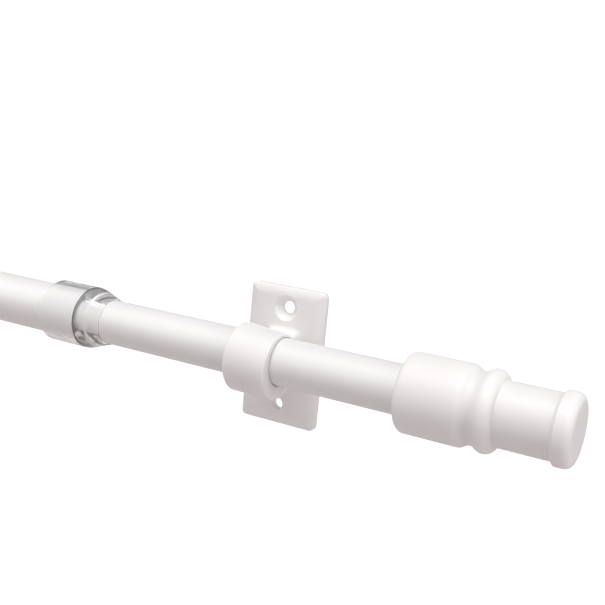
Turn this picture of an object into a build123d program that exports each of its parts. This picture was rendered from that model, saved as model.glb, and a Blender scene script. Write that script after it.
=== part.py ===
from build123d import *
from math import sqrt
import os

# Extendable curtain rod: two tubes that telescope, a clear collar over the step, a finial on each end
# and two wall brackets whose rings the rod passes through.
# Frame, in mm: +X along the rod towards the thin tube's end, +Y into the wall, +Z up.
# The origin is on the wall, at the middle of the right bracket's plate.

# Tubes
inner_tube_diameter = 19.0
tube_wall = 0.8
slide_gap = 0.7
inner_tube_length = 640.0
outer_tube_length = 640.0
bare_inner_length = 149.8

# Finials, turned shape measured along the rod from the shoulder
finial_wall = 4.1
finial_wall_gap = 3.9
tube_fit_gap = 0.15
tube_seat_depth = 30.0
shoulder_radius = 2.5
groove_position = 27.2
groove_depth = 1.7
groove_edge_radius = 3.5
bead_position = 32.0
bead_radius = 3.75
neck_step = 3.2
neck_length = 19.35
neck_wall = 3.5
rim_step = 1.35
rim_length = 7.3
rim_edge_radius = 3.0
end_wall = 3.0

# Clear transition collar over the end of the outer tube
collar_fit_gap = 0.05
collar_wall = 2.3
collar_grip_length = 21.0
collar_lead_length = 3.5
collar_lead_wall = 0.3
collar_body_length = 2.5
collar_nose_length = 10.3
collar_bore_gap = 0.1
collar_bore_length = 6.8
collar_cavity_gap = 0.9
collar_lip = 0.3
collar_round = 8.0

# Glide plug in the hidden end of the inner tube
glide_gap = 0.15
glide_fit_gap = 0.05
glide_flange_length = 6.0
glide_plug_length = 16.0
glide_wall = 1.6

# Wall brackets
bracket_to_finial = 61.8
ring_gap = 0.25
ring_wall = 4.15
ring_thin_wall = 1.25
ring_length = 18.7
ring_forward = 0.3
ring_drop = 1.2
ring_edge_radius = 0.7
ring_lip_radius = 0.4
neck_width = 12.0
neck_height = 18.6
neck_edge_radius = 1.5
foot_radius = 2.6
plate_width = 34.6
plate_height = 57.2
plate_thickness = 3.6
plate_corner_radius = 2.5
plate_crown_radius = 7.5
plate_crown_width = 4.2
plate_edge_radius = 0.6
rod_rise = 2.2
screw_spacing = 40.0
screw_hole_diameter = 5.0
countersink_diameter = 10.6
countersink_angle = 90.0

# Sizes that follow from the ones above
inner_tube_radius = inner_tube_diameter / 2
outer_tube_radius = inner_tube_radius + slide_gap + tube_wall
finial_radius = outer_tube_radius + finial_wall
wall_distance = finial_radius + finial_wall_gap

# Places along the rod
right_shoulder_x = bracket_to_finial
inner_right_x = right_shoulder_x + tube_seat_depth
inner_left_x = inner_right_x - inner_tube_length
outer_right_x = right_shoulder_x - bare_inner_length
outer_left_x = outer_right_x - outer_tube_length
left_shoulder_x = outer_left_x + tube_seat_depth
left_bracket_x = left_shoulder_x + bracket_to_finial


def across(x):
    """The plane square to the rod at x, with its origin on the rod's axis."""
    return Plane(origin=(x, -wall_distance, rod_rise), x_dir=(0, 1, 0), z_dir=(1, 0, 0))


def along(x, side):
    """The upright plane through the rod's axis, starting at x and running to the right or left."""
    return Plane(origin=(x, -wall_distance, rod_rise), x_dir=(side, 0, 0), z_dir=(0, -side, 0))


def facing_room(x, distance, z):
    """The upright plane that faces the room, at a distance from the wall."""
    return Plane(origin=(x, -distance, z), x_dir=(1, 0, 0), z_dir=(0, -1, 0))


def rod_axis():
    """The axis of both tubes."""
    return Axis((0, -wall_distance, rod_rise), (1, 0, 0))


def tube(start_x, length, radius):
    """A drawn tube that starts at start_x."""
    with BuildPart() as piece:
        with BuildSketch(across(start_x)):
            Circle(radius)
            Circle(radius - tube_wall, mode=Mode.SUBTRACT)
        extrude(amount=length)
    return piece


def between(first, second, share):
    """The point at a share of the way from the first point to the second."""
    return (first[0] + (second[0] - first[0]) * share, first[1] + (second[1] - first[1]) * share)


def finial(shoulder_x, side, tube_radius):
    """A moulded finial: barrel, groove, bead, neck and rim round a blind bore for one tube."""
    bore_radius = tube_radius + tube_fit_gap
    groove_bottom = finial_radius - groove_depth
    bead_centre = (bead_position, finial_radius - bead_radius)
    neck_radius = finial_radius - neck_step
    rim_radius = neck_radius + rim_step
    core_radius = neck_radius - neck_wall

    # The groove's arc touches the bead, and the barrel's edge touches the groove
    run = bead_position - groove_position
    fall = groove_bottom - bead_centre[1]
    groove_radius = (run**2 + fall**2 - bead_radius**2) / (2 * (bead_radius - fall))
    groove_centre = (groove_position, groove_bottom + groove_radius)
    reach = groove_edge_radius + groove_radius
    lift = groove_centre[1] - (finial_radius - groove_edge_radius)
    edge_centre = (groove_position - sqrt(reach**2 - lift**2), finial_radius - groove_edge_radius)
    edge_to_groove = between(edge_centre, groove_centre, groove_edge_radius / reach)
    groove_to_bead = between(groove_centre, bead_centre, groove_radius / (groove_radius + bead_radius))

    neck_start = bead_position + sqrt(bead_radius**2 - (neck_radius - bead_centre[1]) ** 2)
    neck_end = neck_start + neck_length
    tip = neck_end + rim_length
    with BuildPart() as piece:
        with BuildSketch(along(shoulder_x, side)):
            with BuildLine():
                mouth = Line((0, bore_radius), (0, finial_radius - shoulder_radius))
                shoulder = TangentArc(mouth @ 1, (shoulder_radius, finial_radius), tangent=mouth % 1)
                barrel = Line(shoulder @ 1, (edge_centre[0], finial_radius))
                edge = TangentArc(barrel @ 1, edge_to_groove, tangent=barrel % 1)
                groove = TangentArc(edge @ 1, groove_to_bead, tangent=edge % 1)
                bead = TangentArc(groove @ 1, (neck_start, neck_radius), tangent=groove % 1)
                neck = Line(bead @ 1, (neck_end, neck_radius))
                step = Line(neck @ 1, (neck_end + rim_step, rim_radius))
                rim = Line(step @ 1, (tip - rim_edge_radius, rim_radius))
                rim_edge = TangentArc(rim @ 1, (tip, rim_radius - rim_edge_radius), tangent=rim % 1)
                Polyline(
                    rim_edge @ 1,
                    (tip, 0),
                    (tip - end_wall, 0),
                    (tip - end_wall, core_radius),
                    (tube_seat_depth, core_radius),
                    (tube_seat_depth, bore_radius),
                    mouth @ 0,
                )
            make_face()
        revolve(axis=rod_axis())
    return piece


def transition_collar():
    """The clear sleeve over the outer tube's end, with a nose that closes in on the inner tube."""
    grip_radius = outer_tube_radius + collar_fit_gap
    body_radius = grip_radius + collar_wall
    bore_radius = inner_tube_radius + collar_bore_gap
    cavity_radius = inner_tube_radius + collar_cavity_gap
    body_end = collar_grip_length + collar_body_length
    nose_end = body_end + collar_nose_length
    bore_start = nose_end - collar_bore_length
    lead_in = cavity_radius - bore_radius
    with BuildPart() as piece:
        with BuildSketch(along(outer_right_x - collar_grip_length, 1)) as section:
            with BuildLine():
                Polyline(
                    (0, grip_radius),
                    (0, grip_radius + collar_lead_wall),
                    (collar_lead_length, body_radius),
                    (body_end, body_radius),
                    (nose_end, bore_radius + collar_lip),
                    (nose_end, bore_radius),
                    (bore_start, bore_radius),
                    (bore_start - lead_in, cavity_radius),
                    (collar_grip_length, cavity_radius),
                    (collar_grip_length, grip_radius),
                    close=True,
                )
            make_face()
            body_corners = section.vertices().group_by(Axis.Y)[-1]
            fillet(body_corners.sort_by(Axis.X)[-1], radius=collar_round)
        revolve(axis=rod_axis())
    return piece


def tube_glide():
    """The plug in the inner tube's hidden end, whose flange rides in the outer tube."""
    flange_radius = outer_tube_radius - tube_wall - glide_gap
    plug_radius = inner_tube_radius - tube_wall - glide_fit_gap
    with BuildPart() as piece:
        with BuildSketch(across(inner_left_x)):
            Circle(flange_radius)
            Circle(plug_radius - glide_wall, mode=Mode.SUBTRACT)
        extrude(amount=-glide_flange_length)
        with BuildSketch(across(inner_left_x)):
            Circle(plug_radius)
            Circle(plug_radius - glide_wall, mode=Mode.SUBTRACT)
        extrude(amount=glide_plug_length)
    return piece


def wall_plate(centre_x):
    """The bracket's plate: flat in the middle, with a front that is crowned down to all four edges."""
    crown_drop = plate_crown_radius - sqrt(plate_crown_radius**2 - plate_crown_width**2)
    edge_thickness = plate_thickness - crown_drop
    upright = Plane(origin=(centre_x, 0, 0), x_dir=(0, 0, 1), z_dir=(1, 0, 0))
    level = Plane(origin=(centre_x, 0, 0), x_dir=(1, 0, 0), z_dir=(0, 0, -1))
    with BuildPart() as plate:
        with BuildSketch(facing_room(centre_x, 0, 0)):
            RectangleRounded(plate_width, plate_height, plate_corner_radius)
        extrude(amount=plate_thickness)
        for section, size in ((upright, plate_height), (level, plate_width)):
            side = size / 2
            flat = side - plate_crown_width
            with BuildSketch(section):
                with BuildLine():
                    front = Line((-flat, plate_thickness), (flat, plate_thickness))
                    high = TangentArc(front @ 1, (side, edge_thickness), tangent=front % 1)
                    low = TangentArc(front @ 0, (-side, edge_thickness), tangent=(-1, 0))
                    Polyline(high @ 1, (side, 0), (-side, 0), low @ 1)
                make_face()
            extrude(amount=plate_height, both=True, mode=Mode.INTERSECT)
        rim = plate.edges().filter_by_position(Axis.Y, -edge_thickness - crown_drop / 2, -edge_thickness)
        fillet(rim, radius=plate_edge_radius)
    return plate


def ring_outside(centre_x, bore_radius):
    """The ring before its bore: round, with a top that thins towards the right end."""
    thinning = (ring_wall + ring_drop - ring_thin_wall) / 2
    left_radius = bore_radius + ring_wall
    right_radius = bore_radius + ring_thin_wall + thinning
    right_forward = ring_forward + left_radius - right_radius
    with BuildPart() as ring:
        with BuildSketch(across(centre_x - ring_length / 2)):
            with Locations((-ring_forward, -ring_drop)):
                Circle(left_radius)
        with BuildSketch(across(centre_x + ring_length / 2)):
            with Locations((-right_forward, -thinning)):
                Circle(right_radius)
        loft()
        fillet(ring.edges().filter_by(GeomType.CIRCLE), radius=ring_edge_radius)
    return ring


def neck(centre_x):
    """The neck between the ring's middle and the middle of the plate's thickness."""
    plate_middle = wall_distance - plate_thickness / 2
    with BuildPart() as body:
        with BuildSketch(across(centre_x)):
            with Locations((plate_middle / 2, -ring_drop)):
                Rectangle(plate_middle, neck_height)
        extrude(amount=neck_width / 2, both=True)
        fillet(body.edges().filter_by(Axis.Y), radius=neck_edge_radius)
    return body


def bracket(centre_x, tube_radius):
    """A moulded wall bracket: a ring for one tube, on a neck that flares into a plate with two screw holes."""
    bore_radius = tube_radius + ring_gap
    plate = wall_plate(centre_x)
    ring = ring_outside(centre_x, bore_radius)
    body = neck(centre_x)
    with BuildPart() as piece:
        add(plate.part)
        add(body.part)
        add(ring.part)
        plate_front = piece.faces().filter_by(Axis.Y).sort_by(Axis.Y)[0]
        fillet(plate_front.inner_wires().edges(), radius=foot_radius)

        with BuildSketch(across(centre_x)):
            Circle(bore_radius)
        extrude(amount=ring_length, both=True, mode=Mode.SUBTRACT)
        fillet(piece.edges(Select.NEW).filter_by(GeomType.CIRCLE), radius=ring_lip_radius)

        with Locations(facing_room(centre_x, plate_thickness, screw_spacing / 2)):
            CounterSinkHole(
                screw_hole_diameter / 2,
                countersink_diameter / 2,
                depth=plate_thickness,
                counter_sink_angle=countersink_angle,
            )
        with Locations(facing_room(centre_x, plate_thickness, -screw_spacing / 2)):
            Hole(screw_hole_diameter / 2, depth=plate_thickness)
    return piece


pieces = {
    "inner_tube": tube(inner_left_x, inner_tube_length, inner_tube_radius),
    "outer_tube": tube(outer_left_x, outer_tube_length, outer_tube_radius),
    "tube_glide": tube_glide(),
    "transition_collar": transition_collar(),
    "right_finial": finial(right_shoulder_x, 1, inner_tube_radius),
    "left_finial": finial(left_shoulder_x, -1, outer_tube_radius),
    "right_bracket": bracket(0, inner_tube_radius),
    "left_bracket": bracket(left_bracket_x, outer_tube_radius),
}

os.makedirs("parts", exist_ok=True)
for name, piece in pieces.items():
    piece.part.label = name
    export_step(piece.part, f"parts/{name}.step")
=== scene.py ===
"""Looks of the extendable curtain rod: finishes, soft studio light, pale floor and the photo's camera."""

import math

import bpy
from mathutils import Matrix, Vector

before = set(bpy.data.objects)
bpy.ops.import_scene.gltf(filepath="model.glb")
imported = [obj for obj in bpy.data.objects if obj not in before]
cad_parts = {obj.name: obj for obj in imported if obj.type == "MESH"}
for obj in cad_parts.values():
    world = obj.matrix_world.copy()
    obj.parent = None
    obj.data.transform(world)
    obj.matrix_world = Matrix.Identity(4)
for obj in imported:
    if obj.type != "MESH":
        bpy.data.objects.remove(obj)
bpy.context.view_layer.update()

MM = 0.001
WHITE = (1, 1, 1, 1)

# Camera, fitted to the photo: where it stands, where it looks and how far it leans
CAMERA_PLACE = Vector((183.2, -327.53, 92.79)) * MM
CAMERA_AZIMUTH = math.radians(28.5)
CAMERA_ELEVATION = math.radians(10.639)
CAMERA_ROLL = math.radians(-5.528)
SENSOR_WIDTH = 36.0
PHOTO_WIDTH = 605
FOCAL_PIXELS = 941.583
NEAREST_SEEN = 0.01
FARTHEST_SEEN = 50.0

# The rod's axis, along X through this place in the row frame
ROD_Y = -19.0 * MM
ROD_Z = 2.2 * MM

# Light: a sky that is even low down and dims towards the top, a broad lamp high up in front of the
# rod, and a weaker and wider one from the thin tube's end. Heights in the sky and in the room run
# from 0 at the horizon to 1 straight up.
SKY_COLOUR = (1.0, 0.965, 0.97)
SKY_LOW = 0.56
SKY_LOW_TOP = 0.45
SKY_HIGH = 0.27
KEY_STRENGTH = 1.82
KEY_ELEVATION = math.radians(73.0)
KEY_SPREAD = math.radians(24.0)
SIDE_STRENGTH = 0.95
SIDE_SPREAD = math.radians(60.0)
SIDE_TOWARDS = (0.99, -0.05, 0.1)

# What is seen through the clear plastic: a white horizon, a dim room above it, a white ceiling
HORIZON_TOP = 0.16
ROOM_START = 0.24
CEILING_START = 0.9
CEILING_FULL = 0.94
ROOM_GREY = 0.3

# What gloss reflects: a long softbox beside the rod, in the same dim room. The angles say how high
# it stands, and how far its even core and its faded edge reach from its middle.
SOFTBOX_ELEVATION = math.radians(52.0)
SOFTBOX_CORE = math.radians(22.0)
SOFTBOX_EDGE = math.radians(50.0)
SOFTBOX_STRENGTH = 3.6

# Light bounces that the thick clear collar needs; with fewer, black patches stay in it
CLEAR_BOUNCES = 24

# A count of bounces is a whole number, so below this it is none
NO_BOUNCES = 0.5

# Floor: its colour, the glow that makes it white to the camera, and a fainter glow that gloss and
# clear plastic show
FLOOR_Z = -0.45
FLOOR_SIDE = 30.0
FLOOR_COLOUR = (0.53, 0.49, 0.495, 1.0)
FLOOR_LIFT = 0.66
FLOOR_MIRROR_LIFT = 0.1

# Random patterns: where most of their values lie, and how finely soft and fine ones break up
PATTERN_LOW = 0.3
PATTERN_HIGH = 0.7
SOFT_DETAIL = 2.0
FINE_DETAIL = 3.0

# Inputs of Blender's mix node for the factor and the two colours, and its output for a colour
MIX_INPUTS = (0, 6, 7)
MIX_OUTPUT = 2

# Tubes: white powder coat with an orange peel, and bare steel at the cut ends and in the bore. How
# far the skin faces away from the rod's axis, from -1 to 1, says which of the two it is. Waves here
# and below are per metre.
PAINT_LIGHT = (0.87, 0.865, 0.86, 1.0)
PAINT_DARK = (0.855, 0.85, 0.845, 1.0)
PAINT_ROUGHNESS = (0.30, 0.40)
PAINT_GLOSS = 0.4
PEEL_WAVES = 850.0
PEEL_DEPTH = 0.01 * MM
PATCH_WAVES = 70.0
PATCH_DEPTH = 0.04 * MM
STEEL_DARK = (0.30, 0.29, 0.28, 1.0)
STEEL_LIGHT = (0.42, 0.41, 0.39, 1.0)
SCALE_WAVES = 2600.0
BARE_BELOW = 0.4
PAINTED_ABOVE = 0.6

# Mouldings of white plastic and of natural nylon: a part of their light, the glow, goes under the
# skin, and red, green and blue go equally deep
PLASTIC_LIGHT = (0.89, 0.875, 0.87, 1.0)
PLASTIC_DARK = (0.875, 0.86, 0.855, 1.0)
PLASTIC_ROUGHNESS = (0.40, 0.50)
PLASTIC_GLOW = 0.7
NYLON_LIGHT = (0.78, 0.76, 0.70, 1.0)
NYLON_DARK = (0.72, 0.70, 0.63, 1.0)
NYLON_ROUGHNESS = (0.45, 0.55)
NYLON_GLOW = 0.3
MOULDING_GLOSS = 0.42
GLOW_DEPTH = 4.0 * MM
GLOW_COLOURS = (1.0, 1.0, 1.0)
SINK_WAVES = 55.0
SINK_DEPTH = 0.06 * MM
SPARK_WAVES = 1900.0
SPARK_DEPTH = 0.006 * MM
CLOUD_WAVES = 130.0

# Clear plastic: a little less than all of it is clear, the rest is milky
CLEAR_TINT = (0.985, 0.99, 0.99, 1.0)
CLEAR_SHADOW = (0.98, 0.98, 0.98, 1.0)
CLEAR_SHEEN = (0.25, 0.25, 0.25, 1.0)
CLEARNESS = 0.93
CLEAR_INDEX = 1.49
CLEAR_ROUGHNESS = (0.03, 0.08)
RIPPLE_WAVES = 160.0
RIPPLE_DEPTH = 0.02 * MM
HAZE_WAVES = 420.0


class Net:
    """The shader nodes of a finish or of the world, and the links between them."""

    def __init__(self, tree):
        self.nodes = tree.nodes
        self.links = tree.links

    def put(self, value, socket):
        """Gives a socket a constant or another node's output."""
        if isinstance(value, bpy.types.NodeSocket):
            self.links.new(value, socket)
        else:
            socket.default_value = value

    def value_sum(self, operation, *values):
        """One sum on values, each a number or a node's output."""
        node = self.nodes.new("ShaderNodeMath")
        node.operation = operation
        for value, socket in zip(values, node.inputs):
            self.put(value, socket)
        return node.outputs["Value"]

    def vector_sum(self, operation, *vectors):
        """One sum on vectors, each a constant or a node's output. A dot product gives a value."""
        node = self.nodes.new("ShaderNodeVectorMath")
        node.operation = operation
        for vector, socket in zip(vectors, node.inputs):
            self.put(vector, socket)
        return node.outputs["Value" if operation == "DOT_PRODUCT" else "Vector"]

    def across_rod(self, vector):
        """The direction of a vector as seen along the rod, with length 1."""
        across = self.vector_sum("MULTIPLY", vector, (0, 1, 1))
        return self.vector_sum("NORMALIZE", across)

    def either(self, chance, first, second):
        """The second shader where chance is 1, or else the first."""
        node = self.nodes.new("ShaderNodeMixShader")
        for value, socket in zip((chance, first, second), node.inputs):
            self.put(value, socket)
        return node.outputs["Shader"]

    def unscattered(self, path):
        """1 on a ray that has met nothing matt on its way from the camera, or else 0."""
        return self.value_sum("LESS_THAN", path.outputs["Diffuse Depth"], NO_BOUNCES)

    def studio_ray(self, path):
        """1 for what gloss and clear plastic show the camera, 0 for the light that falls on things."""
        glossy, clear = path.outputs["Is Glossy Ray"], path.outputs["Is Transmission Ray"]
        shiny = self.value_sum("MAXIMUM", glossy, clear)
        return self.value_sum("MULTIPLY", shiny, self.unscattered(path))

    def mirror_ray(self, path):
        """1 for what gloss reflects to the camera, 0 for what is seen through plastic and for light."""
        mirrored = self.value_sum("MULTIPLY", path.outputs["Is Reflection Ray"], self.unscattered(path))
        outside = self.value_sum("LESS_THAN", path.outputs["Transmission Depth"], NO_BOUNCES)
        return self.value_sum("MULTIPLY", mirrored, outside)


class Finish(Net):
    """A material under construction, around its one Principled shader."""

    def __init__(self, name):
        self.material = bpy.data.materials.new(name)
        self.material.use_nodes = True
        super().__init__(self.material.node_tree)
        self.shader = self.nodes["Principled BSDF"]
        skin = self.nodes.new("ShaderNodeTexCoord")
        self.place = skin.outputs["Object"]
        self.normal = skin.outputs["Normal"]

    def give(self, value, name):
        """Gives one of the shader's inputs a constant or another node's output."""
        self.put(value, self.shader.inputs[name])

    def noise(self, waves, detail=SOFT_DETAIL):
        """A random pattern from 0 to 1, with this many waves per metre."""
        node = self.nodes.new("ShaderNodeTexNoise")
        self.put(self.place, node.inputs["Vector"])
        self.put(waves, node.inputs["Scale"])
        self.put(detail, node.inputs["Detail"])
        return node.outputs["Fac"]

    def spread(self, value, low, high, start=PATTERN_LOW, end=PATTERN_HIGH):
        """Maps start..end of a value to low..high."""
        node = self.nodes.new("ShaderNodeMapRange")
        self.put(value, node.inputs["Value"])
        self.put(start, node.inputs["From Min"])
        self.put(end, node.inputs["From Max"])
        self.put(low, node.inputs["To Min"])
        self.put(high, node.inputs["To Max"])
        return node.outputs["Result"]

    def blend(self, factor, first, second):
        """A colour between two others."""
        node = self.nodes.new("ShaderNodeMix")
        node.data_type = "RGBA"
        for value, place in zip((factor, first, second), MIX_INPUTS):
            self.put(value, node.inputs[place])
        return node.outputs[MIX_OUTPUT]

    def mottle(self, pattern, first, second):
        """A colour that a pattern moves between two others."""
        return self.blend(self.spread(pattern, 0.0, 1.0), first, second)

    def bumps(self, *layers):
        """Stacks relief on the surface: pairs of a pattern and its depth in metres."""
        below = None
        for pattern, depth in layers:
            node = self.nodes.new("ShaderNodeBump")
            self.put(depth, node.inputs["Distance"])
            self.put(pattern, node.inputs["Height"])
            if below is not None:
                self.put(below, node.inputs["Normal"])
            below = node.outputs["Normal"]
        self.give(below, "Normal")


def tube_paint():
    """White powder coat with a faint orange peel; the cut ends and the bore are bare steel."""
    finish = Finish("tube_paint")
    peel = finish.noise(PEEL_WAVES)
    patches = finish.noise(PATCH_WAVES)
    scale = finish.noise(SCALE_WAVES, FINE_DETAIL)

    # Paint covers the skin that faces away from the rod's axis
    outward = finish.vector_sum("SUBTRACT", finish.place, (0, ROD_Y, ROD_Z))
    facing = finish.vector_sum("DOT_PRODUCT", finish.across_rod(outward), finish.normal)
    bare = finish.spread(facing, 1.0, 0.0, BARE_BELOW, PAINTED_ABOVE)

    paint = finish.mottle(patches, PAINT_LIGHT, PAINT_DARK)
    steel = finish.mottle(scale, STEEL_DARK, STEEL_LIGHT)
    finish.give(finish.blend(bare, paint, steel), "Base Color")
    finish.give(bare, "Metallic")
    finish.give(finish.spread(peel, *PAINT_ROUGHNESS), "Roughness")
    finish.give(PAINT_GLOSS, "Specular IOR Level")
    finish.bumps((patches, PATCH_DEPTH), (peel, PEEL_DEPTH))
    return finish.material


def moulding(name, light, dark, roughness, glow):
    """Opaque moulding compound: fine spark texture, slight sink and a little light under the skin."""
    finish = Finish(name)
    sink = finish.noise(SINK_WAVES)
    sparks = finish.noise(SPARK_WAVES, FINE_DETAIL)
    clouds = finish.noise(CLOUD_WAVES)
    finish.give(finish.mottle(clouds, light, dark), "Base Color")
    finish.give(finish.spread(sparks, *roughness), "Roughness")
    finish.give(MOULDING_GLOSS, "Specular IOR Level")
    finish.give(glow, "Subsurface Weight")
    finish.give(GLOW_COLOURS, "Subsurface Radius")
    finish.give(GLOW_DEPTH, "Subsurface Scale")
    finish.bumps((sink, SINK_DEPTH), (sparks, SPARK_DEPTH))
    return finish.material


def clear_plastic():
    """Clear acrylic: slightly rippled, faintly milky, hazy in places, and open to the lamps' light."""
    finish = Finish("clear_plastic")
    ripples = finish.noise(RIPPLE_WAVES)
    haze = finish.noise(HAZE_WAVES, FINE_DETAIL)
    finish.give(CLEAR_TINT, "Base Color")
    finish.give(CLEAR_INDEX, "IOR")
    finish.give(CLEARNESS, "Transmission Weight")
    finish.give(CLEAR_SHEEN, "Specular Tint")
    finish.give(finish.spread(haze, *CLEAR_ROUGHNESS), "Roughness")
    finish.bumps((ripples, RIPPLE_DEPTH))

    # The light for what is inside goes straight through, so that none of it counts twice
    path = finish.nodes.new("ShaderNodeLightPath")
    straight = finish.nodes.new("ShaderNodeBsdfTransparent")
    finish.put(CLEAR_SHADOW, straight.inputs["Color"])
    shadow, scattered = path.outputs["Is Shadow Ray"], path.outputs["Is Diffuse Ray"]
    lighting = finish.value_sum("MAXIMUM", shadow, scattered)
    surface = finish.either(lighting, finish.shader.outputs["BSDF"], straight.outputs["BSDF"])
    finish.put(surface, finish.nodes["Material Output"].inputs["Surface"])
    return finish.material


def dress(node, material):
    """Gives a CAD node its finish."""
    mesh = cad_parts[node].data
    mesh.materials.clear()
    mesh.materials.append(material)


def in_front(elevation):
    """The direction across the rod, away from the wall and this high above the level."""
    return (0, -math.cos(elevation), math.sin(elevation))


def shade(strength, colour=(1, 1, 1)):
    """White or another colour at this strength."""
    return tuple(channel * strength for channel in colour)


def picture(net, place, *stops):
    """A background that runs through these stops, pairs of a place from 0 to 1 and a colour."""
    node = net.nodes.new("ShaderNodeValToRGB")
    net.put(place, node.inputs["Fac"])
    ramp = node.color_ramp
    first, *between, last = stops
    for element, (position, colour) in zip(ramp.elements, (first, last)):
        element.position = position
        element.color = (*colour, 1)
    for position, colour in between:
        ramp.elements.new(position).color = (*colour, 1)
    background = net.nodes.new("ShaderNodeBackground")
    net.put(node.outputs["Color"], background.inputs["Color"])
    return background.outputs["Background"]


def make_world():
    """Sky light on things, white to the camera, a softbox in gloss and a room through clear plastic."""
    world = bpy.data.worlds.new("studio")
    world.use_nodes = True
    bpy.context.scene.world = world
    net = Net(world.node_tree)
    net.nodes.clear()
    path = net.nodes.new("ShaderNodeLightPath")
    direction = net.nodes.new("ShaderNodeTexCoord").outputs["Generated"]
    split = net.nodes.new("ShaderNodeSeparateXYZ")
    net.put(direction, split.inputs["Vector"])
    height = split.outputs["Z"]

    sky = picture(
        net,
        height,
        (SKY_LOW_TOP, shade(SKY_LOW, SKY_COLOUR)),
        (1.0, shade(SKY_HIGH, SKY_COLOUR)),
    )
    room = picture(
        net,
        height,
        (HORIZON_TOP, shade(1)),
        (ROOM_START, shade(ROOM_GREY)),
        (CEILING_START, shade(ROOM_GREY)),
        (CEILING_FULL, shade(1)),
    )
    nearness = net.vector_sum("DOT_PRODUCT", net.across_rod(direction), in_front(SOFTBOX_ELEVATION))
    softbox = picture(
        net,
        nearness,
        (math.cos(SOFTBOX_EDGE), shade(ROOM_GREY)),
        (math.cos(SOFTBOX_CORE), shade(SOFTBOX_STRENGTH)),
    )
    white = net.nodes.new("ShaderNodeBackground")
    net.put(WHITE, white.inputs["Color"])

    surroundings = net.either(net.studio_ray(path), sky, room)
    surroundings = net.either(net.mirror_ray(path), surroundings, softbox)
    surroundings = net.either(path.outputs["Is Camera Ray"], surroundings, white.outputs["Background"])
    output = net.nodes.new("ShaderNodeOutputWorld")
    net.put(surroundings, output.inputs["Surface"])


def make_lamp(name, strength, spread, towards):
    """A broad soft lamp, far away in this direction."""
    data = bpy.data.lights.new(name, "SUN")
    data.energy = strength
    data.angle = spread
    lamp = bpy.data.objects.new(name, data)
    bpy.context.scene.collection.objects.link(lamp)
    lamp.rotation_euler = Vector(towards).to_track_quat("Z", "Y").to_euler()


def make_floor():
    """A plain pale floor well below the rod, which the camera sees as white outside the rod's shadow."""
    bpy.ops.mesh.primitive_plane_add(size=FLOOR_SIDE, location=(0, 0, FLOOR_Z))
    floor = bpy.context.object
    floor.name = "floor"
    finish = Finish("floor")
    finish.give(FLOOR_COLOUR, "Base Color")
    finish.give(1.0, "Roughness")
    finish.give(0.0, "Specular IOR Level")
    finish.give(WHITE, "Emission Color")
    path = finish.nodes.new("ShaderNodeLightPath")
    direct = finish.value_sum("MULTIPLY", path.outputs["Is Camera Ray"], FLOOR_LIFT)
    mirrored = finish.value_sum("MULTIPLY", finish.studio_ray(path), FLOOR_MIRROR_LIFT)
    finish.give(finish.value_sum("ADD", direct, mirrored), "Emission Strength")
    floor.data.materials.append(finish.material)


def make_camera():
    """The photo's camera."""
    flat = math.cos(CAMERA_ELEVATION)
    back = Vector(
        (
            math.sin(CAMERA_AZIMUTH) * flat,
            -math.cos(CAMERA_AZIMUTH) * flat,
            math.sin(CAMERA_ELEVATION),
        )
    )
    level = Vector((math.cos(CAMERA_AZIMUTH), math.sin(CAMERA_AZIMUTH), 0))
    upright = back.cross(level)
    right = level * math.cos(CAMERA_ROLL) - upright * math.sin(CAMERA_ROLL)
    up = level * math.sin(CAMERA_ROLL) + upright * math.cos(CAMERA_ROLL)
    data = bpy.data.cameras.new("camera")
    data.sensor_width = SENSOR_WIDTH
    data.lens = FOCAL_PIXELS / PHOTO_WIDTH * SENSOR_WIDTH
    data.clip_start = NEAREST_SEEN
    data.clip_end = FARTHEST_SEEN
    camera = bpy.data.objects.new("camera", data)
    bpy.context.scene.collection.objects.link(camera)
    turn = Matrix((right, up, back)).transposed().to_4x4()
    camera.matrix_world = Matrix.Translation(CAMERA_PLACE) @ turn
    bpy.context.scene.camera = camera


paint = tube_paint()
plastic = moulding("white_plastic", PLASTIC_LIGHT, PLASTIC_DARK, PLASTIC_ROUGHNESS, PLASTIC_GLOW)
nylon = moulding("glide_nylon", NYLON_LIGHT, NYLON_DARK, NYLON_ROUGHNESS, NYLON_GLOW)
clear = clear_plastic()
for node in ("right_finial", "left_finial", "right_bracket", "left_bracket"):
    dress(node, plastic)
for node in ("inner_tube", "outer_tube"):
    dress(node, paint)
dress("tube_glide", nylon)
dress("transition_collar", clear)

make_world()
make_lamp("key", KEY_STRENGTH, KEY_SPREAD, in_front(KEY_ELEVATION))
make_lamp("side", SIDE_STRENGTH, SIDE_SPREAD, SIDE_TOWARDS)
make_floor()
make_camera()

light_paths = bpy.context.scene.cycles
light_paths.max_bounces = CLEAR_BOUNCES
light_paths.glossy_bounces = CLEAR_BOUNCES
light_paths.transmission_bounces = CLEAR_BOUNCES
bpy.context.scene.view_settings.view_transform = "Standard"
